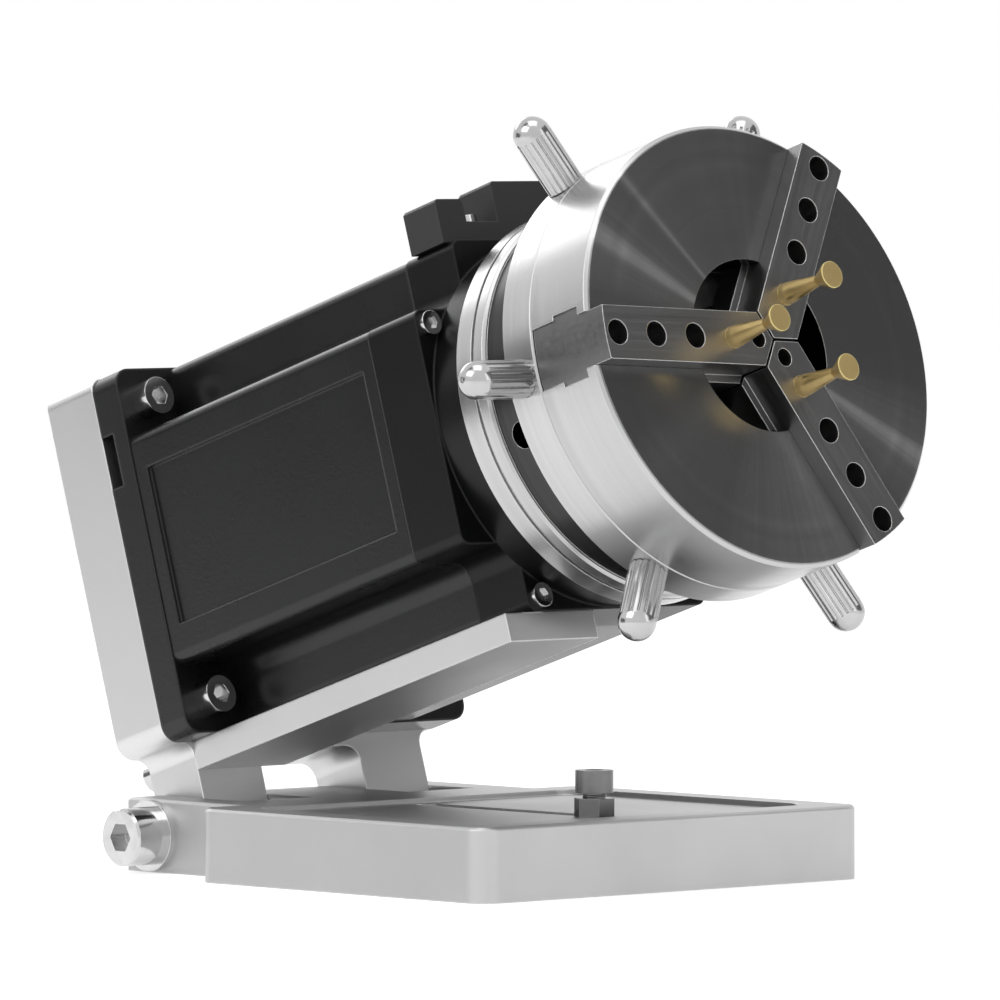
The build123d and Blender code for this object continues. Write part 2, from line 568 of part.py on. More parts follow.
# Lever ring: it turns on the hub. Its front face carries the spiral groove that moves
# the jaws, and the handles are pressed into its rim.
HANDLE_ANGLES = tuple(60 * k for k in range(6))
STUD_R = 2.0
STUD_DEPTH = 2.8
with BuildPart() as lever_ring:
    tube(axis_plane(RING_BACK + RING_PLAY), CHUCK_R, HUB_R + RUN_FIT, SCROLL_FACE - RING_BACK - RING_PLAY)
    rims = edges().filter_by(GeomType.CIRCLE).filter_by(lambda e: abs(e.radius - CHUCK_R) < 0.01)
    chamfer(rims, length=0.4)
    with BuildSketch(axis_plane(SCROLL_FACE)):
        with BuildLine():
            outer_wall = Spline(spiral(GROOVE_W / 2, 96))
            inner_wall = Spline(spiral(-GROOVE_W / 2, 96))
            Line(outer_wall @ 0, inner_wall @ 0)
            Line(outer_wall @ 1, inner_wall @ 1)
        make_face()
    extrude(amount=-GROOVE_D, mode=Mode.SUBTRACT)
    for angle in HANDLE_ANGLES:
        tube(radial_plane(HANDLE_AT, angle, CHUCK_R), STUD_R, 0, -STUD_DEPTH, mode=Mode.SUBTRACT)
lever_ring.part.label = "lever_ring"

# Lever handles: fluted grips with round ends, each on a stud in the ring's rim.
FLUTES = 18
GRIP_L = HANDLE_END - CHUCK_R
with BuildPart() as lever_handles:
    for angle in HANDLE_ANGLES:
        foot = radial_plane(HANDLE_AT, angle, CHUCK_R)
        middle = turned_plane(HANDLE_AT, angle)
        with BuildSketch(middle) as half_grip:
            with BuildLine():
                straight_end = HANDLE_END - HANDLE_R
                stud_end = CHUCK_R - STUD_DEPTH + 0.1
                stud = ((stud_end, 0), (stud_end, STUD_R), (CHUCK_R, STUD_R))
                Polyline((HANDLE_END, 0), *stud, (CHUCK_R, HANDLE_R), (straight_end, HANDLE_R))
                CenterArc((straight_end, 0), HANDLE_R, 0, 90)
            make_face()
        revolve(half_grip.sketch, axis=Axis(middle.origin, middle.x_dir))
        with BuildSketch(foot.offset(-0.5)) as flutes:
            with PolarLocations(HANDLE_R, FLUTES):
                Rectangle(0.5, 0.5, rotation=45)
        extrude(flutes.sketch, amount=GRIP_L - HANDLE_R, mode=Mode.SUBTRACT)
lever_handles.part.label = "lever_handles"

# Jaws: a stepped bar that slides in the body, with teeth at the back that sit in the
# spiral groove. The teeth of each jaw are shifted by its share of the pitch.
jaws = []
for number, angle in enumerate(JAW_ANGLES, start=1):
    with BuildPart() as jaw:
        parts_of_section = (
            (JAW_BACK, RAIL_BACK - SLIDE_GAP, ROOT_W),
            (RAIL_BACK - SLIDE_GAP, RAIL_FRONT + SLIDE_GAP, RAIL_W),
            (RAIL_FRONT + SLIDE_GAP, JAW_FRONT, JAW_W),
        )
        for back, front, width in parts_of_section:
            with BuildSketch(turned_plane(back, angle)):
                with BuildLine():
                    half = width / 2
                    nose = JAW_TIP + half / 3 ** 0.5
                    Polyline((JAW_TIP, 0), (nose, half), (JAW_END, half), (JAW_END, -half), (nose, -half), close=True)
                make_face()
            extrude(amount=front - back)
        keep = Mode.INTERSECT
        tube(axis_plane(JAW_BACK - 1), JAW_END, 0, JAW_FRONT - JAW_BACK + 2, mode=keep)
        first = scroll_radius(angle / 360)
        radii = [first - PITCH * k for k in range(6) if 20.0 < first - PITCH * k < 34.9]
        for radius in radii:
            reach = degrees(asin(TOOTH_REACH / 2 / radius))
            with BuildSketch(turned_plane(JAW_BACK - GROOVE_D + 0.6, angle)):
                with BuildLine():
                    outside = CenterArc((0, 0), radius + TOOTH_W / 2, -reach, 2 * reach)
                    inside = CenterArc((0, 0), radius - TOOTH_W / 2, -reach, 2 * reach)
                    Line(outside @ 0, inside @ 0)
                    Line(outside @ 1, inside @ 1)
                make_face()
            extrude(amount=GROOVE_D - 0.6)
        front_plane = turned_plane(JAW_FRONT, angle)
        with BuildSketch(front_plane):
            with Locations(*[(r, 0) for r in JAW_HOLES]):
                Circle(2.8)
            with Locations((PIN_HOLE, 0)):
                Circle(PIN_R)
            with Locations((4.6, 0)):
                Circle(2.0)
        extrude(amount=-PIN_DEPTH, mode=Mode.SUBTRACT)
    jaw.part.label = f"jaw_{number}"
    jaws.append(jaw.part)

# Brass work pins: one stands in each jaw, waisted, with a flat flared head.
pins = []
for number, angle in enumerate(JAW_ANGLES, start=1):
    pin_foot = JAW_FRONT - PIN_DEPTH
    pin_l = PIN_FRONT - pin_foot
    with BuildPart() as jaw_pin:
        side = turned_plane(pin_foot, angle)
        base_point = side.from_local_coords(Vector(PIN_HOLE, 0, 0))
        profile_plane = Plane(origin=base_point, x_dir=side.x_dir, z_dir=side.y_dir * -1)
        with BuildSketch(profile_plane):
            with BuildLine():
                rim = ((PIN_HEAD_R, pin_l - 0.6), (PIN_HEAD_R, pin_l))
                Polyline((0, 0), (PIN_R, 0), (PIN_R, 9.5), (1.2, pin_l - 4.4), *rim, (0, pin_l), close=True)
            make_face()
        revolve(axis=Axis(base_point, AXIS_DIR))
    jaw_pin.part.label = f"jaw_pin_{number}"
    pins.append(jaw_pin.part)

pieces = [
    base_plate.part, base_clamp_screw.part, base_clamp_nut.part, base_slide_nut.part, pivot_bolt.part,
    pivot_washers.part, pivot_nut.part, tilt_bracket.part, support_arm.part, arm_screws.part,
    motor_rear_flange.part, flange_screws.part, motor_body.part, motor_front_cap.part, cap_screws.part,
    stator_core.part, stator_windings.part, rotor_core.part, motor_shaft.part, rear_bearing.part,
    front_bearing.part, connector_housing.part, connector_insert.part, connector_screws.part,
    chuck_adapter.part, adapter_grub_screws.part, adapter_bolts.part, chuck_body.part, lever_ring.part,
    lever_handles.part, *jaws, *pins,
]
os.makedirs("parts", exist_ok=True)
for piece in pieces:
    export_step(piece, f"parts/{piece.label}.step")
    print(f"{piece.label}: {len(piece.solids())} solid(s), {piece.volume / 1000:.2f} cm3")
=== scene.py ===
# %% [markdown]
# A rotary chuck turns round work under a marking laser. It is nearly all metal:
# blasted aluminium for the base and bracket, black anodised motor housings, and a
# turned steel chuck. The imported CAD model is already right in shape, so this lesson
# gives each metal the marks that its making leaves, and then lights it.

import json
import math

import bmesh
import bpy
from mathutils import Matrix, Vector


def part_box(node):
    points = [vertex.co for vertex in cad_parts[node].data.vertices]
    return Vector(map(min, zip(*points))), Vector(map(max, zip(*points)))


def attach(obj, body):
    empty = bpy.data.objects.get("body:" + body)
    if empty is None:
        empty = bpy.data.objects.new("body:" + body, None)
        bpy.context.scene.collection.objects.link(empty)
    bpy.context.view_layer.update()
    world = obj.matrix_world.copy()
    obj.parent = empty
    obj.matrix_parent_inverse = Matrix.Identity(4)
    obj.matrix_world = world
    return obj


MM = 0.001
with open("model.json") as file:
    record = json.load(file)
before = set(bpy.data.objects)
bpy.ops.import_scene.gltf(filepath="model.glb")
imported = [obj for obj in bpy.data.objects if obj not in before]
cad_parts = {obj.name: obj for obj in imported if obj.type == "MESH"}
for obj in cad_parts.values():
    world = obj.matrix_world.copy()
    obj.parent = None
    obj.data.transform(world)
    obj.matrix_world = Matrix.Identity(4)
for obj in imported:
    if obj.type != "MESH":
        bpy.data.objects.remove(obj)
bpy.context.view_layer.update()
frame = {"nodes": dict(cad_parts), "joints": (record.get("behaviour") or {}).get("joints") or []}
nodes = frame["nodes"]

# %% [markdown]
# Turning marks, the direction of the shine and the dark front face all follow the
# motor's axis. The axis is a joint of the record, so it is read from the frame.

# %% Find the motor axis
spin = next(j for j in frame["joints"] if j["name"] == "chuck_spin")
AXIS_POINT = Vector(spin["pos_m"])
AXIS_DIR = Vector(spin["axis"]).normalized()
FACE_AHEAD = 50.0 * MM        # from the joint's point to the chuck's front face
SIDE_DIR = Vector((1, 0, 0))
UP_DIR = AXIS_DIR.cross(SIDE_DIR)
print("axis through", [round(c, 4) for c in AXIS_POINT], "towards", [round(c, 3) for c in AXIS_DIR])


# %% [markdown]
# Every material is a small tree of nodes. Two helpers keep the lines short: one adds
# a node and sets its values, and one starts a node group with named sockets.

# %% Helpers for node trees
def add(tree, kind, **values):
    """Adds a node, and sets its plain properties and the defaults of its inputs."""
    made = tree.nodes.new(kind)
    for name, value in values.items():
        if hasattr(made, name):
            setattr(made, name, value)
        else:
            made.inputs[name.replace("_", " ")].default_value = value
    return made


def join(tree, source, target):
    tree.links.new(source, target)


def new_group(name, inputs, outputs):
    """A shader node group. Inputs are (name, kind, default), outputs are (name, kind)."""
    group = bpy.data.node_groups.new(name, "ShaderNodeTree")
    for label, kind, default in inputs:
        socket = group.interface.new_socket(label, in_out="INPUT", socket_type="NodeSocket" + kind)
        if default is not None:
            socket.default_value = default
    for label, kind in outputs:
        group.interface.new_socket(label, in_out="OUTPUT", socket_type="NodeSocket" + kind)
    start = group.nodes.new("NodeGroupInput")
    end = group.nodes.new("NodeGroupOutput")
    return group, start, end


def vector_math(tree, operation, first, second):
    made = add(tree, "ShaderNodeVectorMath", operation=operation)
    for socket, value in zip(made.inputs, (first, second)):
        if hasattr(value, "links"):
            join(tree, value, socket)
        elif isinstance(value, (tuple, list, Vector)):
            socket.default_value = tuple(value)
    return made


def scalar_math(tree, operation, first, second=0.0):
    made = add(tree, "ShaderNodeMath", operation=operation)
    for socket, value in zip(made.inputs, (first, second)):
        if hasattr(value, "links"):
            join(tree, value, socket)
        else:
            socket.default_value = value
    return made.outputs[0]


def remap(tree, value, low, high, to_low, to_high):
    made = add(tree, "ShaderNodeMapRange", clamp=True)
    made.inputs["From Min"].default_value = low
    made.inputs["From Max"].default_value = high
    made.inputs["To Min"].default_value = to_low
    made.inputs["To Max"].default_value = to_high
    join(tree, value, made.inputs["Value"])
    return made.outputs["Result"]


# %% [markdown]
# Real machined edges are never knife sharp. The Bevel node rounds the light on an
# edge without touching the mesh, and comparing its normal with the true one tells
# where the edges are, which is where handling polishes the surface.

# %% Group: soft edges
edge_group, start, end = new_group(
    "soft_edges",
    [("Radius", "Float", 0.3 * MM)],
    [("Normal", "Vector"), ("Edge", "Float")],
)
bevel = add(edge_group, "ShaderNodeBevel", samples=5)
join(edge_group, start.outputs["Radius"], bevel.inputs["Radius"])
true_normal = add(edge_group, "ShaderNodeNewGeometry")
same = vector_math(edge_group, "DOT_PRODUCT", bevel.outputs["Normal"], true_normal.outputs["Normal"])
turned_away = scalar_math(edge_group, "SUBTRACT", 1.0, same.outputs["Value"])
join(edge_group, bevel.outputs["Normal"], end.inputs["Normal"])
join(edge_group, remap(edge_group, turned_away, 0.01, 0.22, 0.0, 1.0), end.inputs["Edge"])
print("soft_edges built")

# %% [markdown]
# Bead blasting and casting leave a fine, even grain. One noise gives the grain's
# height and a slower one gives the faint patches that handling leaves.

# %% Group: fine grain
grain_group, start, end = new_group(
    "fine_grain",
    [("Vector", "Vector", None), ("Scale", "Float", 2500.0), ("Patches", "Float", 25.0)],
    [("Height", "Float"), ("Patch", "Float")],
)
grain = add(grain_group, "ShaderNodeTexNoise", Detail=3.0, Roughness=0.65)
patch = add(grain_group, "ShaderNodeTexNoise", Detail=4.0, Roughness=0.6)
for noise, scale in ((grain, "Scale"), (patch, "Patches")):
    join(grain_group, start.outputs["Vector"], noise.inputs["Vector"])
    join(grain_group, start.outputs[scale], noise.inputs["Scale"])
join(grain_group, grain.outputs["Fac"], end.inputs["Height"])
join(grain_group, remap(grain_group, patch.outputs["Fac"], 0.3, 0.7, 0.0, 1.0), end.inputs["Patch"])
print("fine_grain built")

# %% [markdown]
# A lathe leaves rings. Around the axis, a point has a radius and a station along it.
# Noise that is read at (radius, station) is the same all round, so it makes rings on
# a flat face and bands on a cylinder. The group also gives the direction round the
# axis, which stretches the highlights as brushed metal does.

# %% Group: turning marks
turned_group, start, end = new_group(
    "turning_marks",
    [
        ("Vector", "Vector", None),
        ("Centre", "Vector", (0, 0, 0)),
        ("Axis", "Vector", (0, 0, 1)),
        ("Rings", "Float", 3000.0),
    ],
    [
        ("Height", "Float"),
        ("Tone", "Float"),
        ("Around", "Vector"),
        ("Radius", "Float"),
        ("Station", "Float"),
    ],
)
offset = vector_math(turned_group, "SUBTRACT", start.outputs["Vector"], start.outputs["Centre"])
along = vector_math(turned_group, "DOT_PRODUCT", offset.outputs["Vector"], start.outputs["Axis"])
on_axis = add(turned_group, "ShaderNodeVectorMath", operation="SCALE")
join(turned_group, start.outputs["Axis"], on_axis.inputs[0])
join(turned_group, along.outputs["Value"], on_axis.inputs["Scale"])
outward = vector_math(turned_group, "SUBTRACT", offset.outputs["Vector"], on_axis.outputs["Vector"])
radius = add(turned_group, "ShaderNodeVectorMath", operation="LENGTH")
join(turned_group, outward.outputs["Vector"], radius.inputs[0])
around = vector_math(turned_group, "CROSS_PRODUCT", start.outputs["Axis"], outward.outputs["Vector"])
place = add(turned_group, "ShaderNodeCombineXYZ")
join(turned_group, radius.outputs["Value"], place.inputs["X"])
join(turned_group, along.outputs["Value"], place.inputs["Y"])
fine = add(turned_group, "ShaderNodeTexNoise", Detail=2.0, Roughness=0.7)
broad = add(turned_group, "ShaderNodeTexNoise", Scale=260.0, Detail=3.0, Roughness=0.6)
join(turned_group, place.outputs["Vector"], fine.inputs["Vector"])
join(turned_group, place.outputs["Vector"], broad.inputs["Vector"])
join(turned_group, start.outputs["Rings"], fine.inputs["Scale"])
join(turned_group, fine.outputs["Fac"], end.inputs["Height"])
join(turned_group, remap(turned_group, broad.outputs["Fac"], 0.3, 0.7, 0.0, 1.0), end.inputs["Tone"])
join(turned_group, around.outputs["Vector"], end.inputs["Around"])
join(turned_group, radius.outputs["Value"], end.inputs["Radius"])
join(turned_group, along.outputs["Value"], end.inputs["Station"])
print("turning_marks built")

# %% [markdown]
# On a turned face the light gathers in fans that start at the centre, and this group paints
# those fans into the colour as painted highlights. Two stated directions round the axis
# carry the thin bright lines, and a slow noise that is read from the direction alone, and
# not from the distance, draws the broad fans.

# %% Group: fan of painted highlights
painted_fan_group, start, end = new_group(
    "painted_fan_highlights",
    [
        ("Around", "Vector", None),
        ("First Line", "Vector", (1, 0, 0)),
        ("Second Line", "Vector", (0, 1, 0)),
        ("Fans", "Float", 1.4),
    ],
    [("Painted Streak", "Float")],
)
way = add(painted_fan_group, "ShaderNodeVectorMath", operation="NORMALIZE")
join(painted_fan_group, start.outputs["Around"], way.inputs[0])


def line_mask(direction, sharpness):
    """Bright where the way round the axis lines up with this direction."""
    along_line = vector_math(painted_fan_group, "DOT_PRODUCT", way.outputs["Vector"], start.outputs[direction])
    lined_up = scalar_math(painted_fan_group, "ABSOLUTE", along_line.outputs["Value"])
    return scalar_math(painted_fan_group, "POWER", lined_up, sharpness)


slow = add(painted_fan_group, "ShaderNodeTexNoise", Detail=1.0)
fast = add(painted_fan_group, "ShaderNodeTexNoise", Scale=22.0, Detail=3.0, Roughness=0.7)
join(painted_fan_group, way.outputs["Vector"], slow.inputs["Vector"])
join(painted_fan_group, way.outputs["Vector"], fast.inputs["Vector"])
join(painted_fan_group, start.outputs["Fans"], slow.inputs["Scale"])
broad = remap(painted_fan_group, slow.outputs["Fac"], 0.40, 0.70, 0.0, 0.35)
fainter = scalar_math(painted_fan_group, "MULTIPLY", line_mask("Second Line", 3000.0), 0.5)
lines = scalar_math(painted_fan_group, "ADD", line_mask("First Line", 900.0), fainter)
halo = scalar_math(painted_fan_group, "MULTIPLY", line_mask("First Line", 40.0), 0.3)
glow = scalar_math(painted_fan_group, "ADD", halo, broad)
ragged = remap(painted_fan_group, fast.outputs["Fac"], 0.3, 0.7, 0.6, 1.2)
all_fans = scalar_math(painted_fan_group, "MULTIPLY", scalar_math(painted_fan_group, "ADD", lines, glow), ragged)
join(painted_fan_group, remap(painted_fan_group, all_fans, 0.0, 1.0, 0.0, 1.0), end.inputs["Painted Streak"])
print("painted_fan_highlights built")

# %% [markdown]
# Ground faces carry straight scratches. The group turns a noise into a height and into
# a few separate lines. The material that uses it squeezes the coordinates it hands in
# along one direction, so that the noise draws long thin scratches.

# %% Group: straight scratches
scratch_group, start, end = new_group(
    "straight_scratches",
    [("Vector", "Vector", None), ("Scale", "Float", 1800.0)],
    [("Height", "Float"), ("Line", "Float")],
)
lines = add(scratch_group, "ShaderNodeTexNoise", Detail=4.0, Roughness=0.7)
join(scratch_group, start.outputs["Vector"], lines.inputs["Vector"])
join(scratch_group, start.outputs["Scale"], lines.inputs["Scale"])
join(scratch_group, lines.outputs["Fac"], end.inputs["Height"])
join(scratch_group, remap(scratch_group, lines.outputs["Fac"], 0.62, 0.72, 0.0, 1.0), end.inputs["Line"])
print("straight_scratches built")


# %% [markdown]
# The metals share a skeleton: a base colour that the patches and edges shift, a
# roughness that does the same, and a bump on top of the rounded edges. Constants
# such as the metal's anisotropy stay on the shader's own sockets.

# %% Helpers for materials
def group_node(tree, group, **values):
    made = tree.nodes.new("ShaderNodeGroup")
    made.node_tree = group
    for name, value in values.items():
        made.inputs[name].default_value = value
    return made


def start_material(name, metallic, anisotropic=0.0):
    """A new material with its Principled shader and its object coordinates."""
    material = bpy.data.materials.new(name)
    material.use_nodes = True
    tree = material.node_tree
    shader = next(n for n in tree.nodes if n.type == "BSDF_PRINCIPLED")
    shader.inputs["Metallic"].default_value = metallic
    shader.inputs["Anisotropic"].default_value = anisotropic
    place = tree.nodes.new("ShaderNodeTexCoord").outputs["Object"]
    return material, tree, shader, place


def blend_colours(tree, mask, first, second):
    """Mixes two colours, each a tuple or another node's output, by a mask."""
    made = add(tree, "ShaderNodeMix", data_type="RGBA")
    join(tree, mask, made.inputs["Factor"])
    for socket, value in ((made.inputs[6], first), (made.inputs[7], second)):
        if hasattr(value, "links"):
            join(tree, value, socket)
        else:
            socket.default_value = (*value, 1.0)
    return made.outputs[2]


def grey(value, warm=0.0):
    return (value * (1 + warm), value, value * (1 - warm))


def shade(colour, factor):
    """The same colour, lighter or darker, and never above a real metal's brightness."""
    return tuple(min(0.95, part * factor) for part in colour)


def texture(tree, shader, edges, height, distance, strength):
    """Lays a fine relief over the rounded edges."""
    made = add(tree, "ShaderNodeBump")
    made.inputs["Strength"].default_value = strength
    made.inputs["Distance"].default_value = distance
    join(tree, height, made.inputs["Height"])
    join(tree, edges.outputs["Normal"], made.inputs["Normal"])
    join(tree, made.outputs["Normal"], shader.inputs["Normal"])


def shine(tree, shader, mask, first, last, dull, bright):
    """Lets a mask between two values carry the surface from dull to bright."""
    join(tree, remap(tree, mask, first, last, dull, bright), shader.inputs["Roughness"])


def paint(tree, shader, edges, body, edge_colour, wear):
    """The body's colour, polished to another one along the edges."""
    worn = scalar_math(tree, "MULTIPLY", edges.outputs["Edge"], wear)
    join(tree, blend_colours(tree, worn, body, edge_colour), shader.inputs["Base Color"])


def give(material, *names):
    for name in names:
        thing = nodes[name]
        for slot in thing.material_slots:
            slot.material = material
    print(material.name, "on", ", ".join(names))


# %% [markdown]
# The base and the bracket are aluminium, blasted with glass beads and anodised clear.
# Blasting makes the shine broad, and the anodising keeps it from going dull. Edges
# that were machined afterwards are brighter.

# %% Material: blasted aluminium
def blasted_metal(name, colour, roughness, grain_depth, edge_radius):
    material, tree, shader, place = start_material(name, metallic=1.0)
    edges = group_node(tree, edge_group, Radius=edge_radius)
    grain = group_node(tree, grain_group, Scale=2600.0, Patches=22.0)
    join(tree, place, grain.inputs["Vector"])
    body = blend_colours(tree, grain.outputs["Patch"], grey(colour * 0.96), grey(colour * 1.03))
    paint(tree, shader, edges, body, grey(0.92), 0.8)
    satin = remap(tree, grain.outputs["Patch"], 0.0, 1.0, roughness + 0.04, roughness - 0.04)
    bright = scalar_math(tree, "MULTIPLY", edges.outputs["Edge"], -0.15)
    join(tree, scalar_math(tree, "ADD", satin, bright), shader.inputs["Roughness"])
    texture(tree, shader, edges, grain.outputs["Height"], grain_depth, 0.35)
    return material


base_metal = blasted_metal("base_metal", 0.52, 0.42, grain_depth=0.06 * MM, edge_radius=0.5 * MM)
bracket_metal = blasted_metal("bracket_metal", 0.66, 0.38, grain_depth=0.04 * MM, edge_radius=0.5 * MM)
give(base_metal, "base_plate")
give(bracket_metal, "tilt_bracket", "support_arm")


# %% [markdown]
# The motor housings are cast and anodised black. Black metal still shows its shape by
# soft highlights on the ridges, so the edges are painted a little grey, as painted highlight
# and as wear, and the surface has a faint orange-peel texture.

# %% Material: black anodised housing
def black_housing(name, colour, roughness, specular):
    material, tree, shader, place = start_material(name, metallic=0.0)
    shader.inputs["Specular IOR Level"].default_value = specular
    edges = group_node(tree, edge_group, Radius=0.8 * MM)
    grain = group_node(tree, grain_group, Scale=900.0, Patches=18.0)
    join(tree, place, grain.inputs["Vector"])
    body = blend_colours(tree, grain.outputs["Patch"], grey(colour * 0.85, -0.02), grey(colour * 1.2, -0.02))
    # The grey edge colour is a painted highlight on the ridges, with some wear.
    paint(tree, shader, edges, body, grey(0.10), 0.25)
    shine(tree, shader, grain.outputs["Patch"], 0.0, 1.0, roughness + 0.05, roughness - 0.04)
    texture(tree, shader, edges, grain.outputs["Height"], 0.10 * MM, 0.22)
    return material


motor_black = black_housing("motor_black", 0.008, 0.27, specular=0.40)
cap_black = black_housing("cap_black", 0.004, 0.32, specular=0.22)
give(motor_black, "motor_rear_flange", "motor_body")
give(cap_black, "motor_front_cap")


# %% [markdown]
# The chuck's parts are turned steel. Rings of fine marks run round the axis, and the
# highlights stretch across them. A mask from the station along the axis darkens the chuck
# body's front face. Masks also paint shade on the adapter's neck and in the chuck's bore,
# and the fan group paints highlights into the chuck body's colour.

# %% Material: turned steel
# The directions of the two painted highlight lines on the chuck, in degrees.
FIRST_PAINTED_LINE = 147.6            # where the thin lines of the fan lie, in degrees
SECOND_PAINTED_LINE = 128.2
BAND_EDGE = 0.1 * MM          # over this distance one colour passes into the next


def around_at(angle):
    """The way round the axis at a place whose angle is counted from the object's +X."""
    turn = math.radians(angle)
    return tuple(UP_DIR * math.cos(turn) - SIDE_DIR * math.sin(turn))


def turned_metal(
    name, colour, roughness, anisotropic, bands=(), painted_bore_shade=None, painted_highlight=0.0, rings=2600.0, depth=0.02 * MM
):
    """Metal off the lathe. A band is (from, to, colour) along the axis; the painted bore shade (radius,
    colour) is painted shade for everything nearer the axis.
    """
    material, tree, shader, place = start_material(name, metallic=1.0, anisotropic=anisotropic)
    edges = group_node(tree, edge_group, Radius=0.3 * MM)
    marks = group_node(tree, turned_group, Centre=tuple(AXIS_POINT), Axis=tuple(AXIS_DIR), Rings=rings)
    join(tree, place, marks.inputs["Vector"])
    body = blend_colours(tree, marks.outputs["Tone"], shade(colour, 0.92), shade(colour, 1.05))
    for first, last, tone in bands:
        after = remap(tree, marks.outputs["Station"], first, first + BAND_EDGE, 0.0, 1.0)
        before = remap(tree, marks.outputs["Station"], last, last + BAND_EDGE, 1.0, 0.0)
        dark = blend_colours(tree, marks.outputs["Tone"], shade(tone, 0.88), shade(tone, 1.14))
        body = blend_colours(tree, scalar_math(tree, "MULTIPLY", after, before), body, dark)
    # Everything nearer the axis than the bore's radius is painted near black: painted shade in the bore.
    if painted_bore_shade:
        inside = remap(tree, marks.outputs["Radius"], painted_bore_shade[0], painted_bore_shade[0] + BAND_EDGE, 1.0, 0.0)
        body = blend_colours(tree, inside, body, painted_bore_shade[1])
    # The fan's streaks are painted highlights, mixed into the base colour.
    if painted_highlight:
        fan = group_node(tree, painted_fan_group)
        for socket, angle in (("First Line", FIRST_PAINTED_LINE), ("Second Line", SECOND_PAINTED_LINE)):
            fan.inputs[socket].default_value = around_at(angle)
        join(tree, marks.outputs["Around"], fan.inputs["Around"])
        lit = scalar_math(tree, "MULTIPLY", fan.outputs["Painted Streak"], painted_highlight)
        body = blend_colours(tree, lit, body, shade(colour, 1.1))
    paint(tree, shader, edges, body, shade(colour, 1.5), 0.7)
    shine(tree, shader, marks.outputs["Tone"], 0.0, 1.0, roughness + 0.04, roughness - 0.04)
    join(tree, marks.outputs["Around"], shader.inputs["Tangent"])
    texture(tree, shader, edges, marks.outputs["Height"], depth, 0.4)
    return material


FAR = 1.0                     # beyond every piece, in metres
FACE_BAND = (FACE_AHEAD - 0.25 * MM, FAR, grey(0.19))
# The chuck's bore is painted near black, a painted shade in the recess.
PAINTED_BORE_SHADE = (19.55 * MM, grey(0.03))
# The adapter's dark grey neck is painted shade.
PAINTED_NECK_SHADE = (10.4 * MM, 22.3 * MM, grey(0.05))
chuck_steel = turned_metal("chuck_steel", grey(0.50), 0.24, 0.8, bands=[FACE_BAND], painted_bore_shade=PAINTED_BORE_SHADE, painted_highlight=1.0)
ring_steel = turned_metal("ring_steel", grey(0.52), 0.22, 0.7)
adapter_steel = turned_metal("adapter_steel", grey(0.50), 0.22, 0.6, bands=[PAINTED_NECK_SHADE])
shaft_steel = turned_metal("shaft_steel", grey(0.45), 0.25, 0.5)
give(chuck_steel, "chuck_body")
give(ring_steel, "lever_ring")
give(adapter_steel, "chuck_adapter")
give(shaft_steel, "motor_shaft", "rear_bearing", "front_bearing")


# %% [markdown]
# The work pins are turned from brass bar. They stand parallel to the motor's axis, so
# the same marks serve, in a warm colour and with coarser rings.

# %% Material: turned brass
pin_brass = turned_metal("pin_brass", (0.92, 0.68, 0.30), 0.32, 0.3, rings=5200.0, depth=0.03 * MM)
give(pin_brass, "jaw_pin_1", "jaw_pin_2", "jaw_pin_3", "connector_insert")


# %% [markdown]
# The jaws are hardened and ground. Grinding goes along each jaw, so each one gets its
# own squeeze of the scratch noise, along the way that it slides.

# %% Material: ground jaws
SQUEEZE = 0.02                # how much slower the noise changes along a scratch
JAW_GREY = 0.20


def ground_steel(name, along, colour):
    material, tree, shader, place = start_material(name, metallic=1.0)
    edges = group_node(tree, edge_group, Radius=0.3 * MM)
    lines = group_node(tree, scratch_group, Scale=900.0)
    grain = group_node(tree, grain_group, Scale=1500.0, Patches=60.0)
    join(tree, place, grain.inputs["Vector"])
    across = vector_math(tree, "DOT_PRODUCT", place, AXIS_DIR.cross(along))
    depth = vector_math(tree, "DOT_PRODUCT", place, AXIS_DIR)
    length = vector_math(tree, "DOT_PRODUCT", place, along)
    own = add(tree, "ShaderNodeCombineXYZ")
    join(tree, scalar_math(tree, "MULTIPLY", length.outputs["Value"], SQUEEZE), own.inputs["X"])
    join(tree, across.outputs["Value"], own.inputs["Y"])
    join(tree, depth.outputs["Value"], own.inputs["Z"])
    join(tree, own.outputs["Vector"], lines.inputs["Vector"])
    body = blend_colours(tree, grain.outputs["Patch"], grey(colour * 0.9), grey(colour * 1.1))
    faint = scalar_math(tree, "MULTIPLY", lines.outputs["Line"], 0.35)
    body = blend_colours(tree, faint, body, grey(colour * 1.5))
    paint(tree, shader, edges, body, grey(0.9), 0.9)
    shine(tree, shader, lines.outputs["Height"], 0.3, 0.7, 0.30, 0.42)
    texture(tree, shader, edges, lines.outputs["Height"], 0.02 * MM, 0.35)
    return material


for number in (1, 2, 3):
    slide = next(j for j in frame["joints"] if j["name"] == f"jaw_{number}_slide")
    jaw_steel = ground_steel(f"jaw_steel_{number}", Vector(slide["axis"]).normalized(), JAW_GREY)
    give(jaw_steel, f"jaw_{number}")


# %% [markdown]
# Screws, washers and handles are plated bright. A plated surface is smooth, so its
# only texture is a faint unevenness in the shine and the polish on its edges. The
# clamp screw is left dark, with an oily finish.

# %% Material: plated and oiled screws
def plated(name, colour, roughness, edge_colour, patches):
    material, tree, shader, place = start_material(name, metallic=1.0)
    edges = group_node(tree, edge_group, Radius=0.2 * MM)
    grain = group_node(tree, grain_group, Scale=1200.0, Patches=patches)
    join(tree, place, grain.inputs["Vector"])
    body = blend_colours(tree, grain.outputs["Patch"], grey(colour * 0.88), grey(colour * 1.06))
    paint(tree, shader, edges, body, grey(edge_colour), 0.8)
    shine(tree, shader, grain.outputs["Patch"], 0.0, 1.0, roughness + 0.05, roughness - 0.03)
    texture(tree, shader, edges, grain.outputs["Height"], 0.02 * MM, 0.15)
    return material


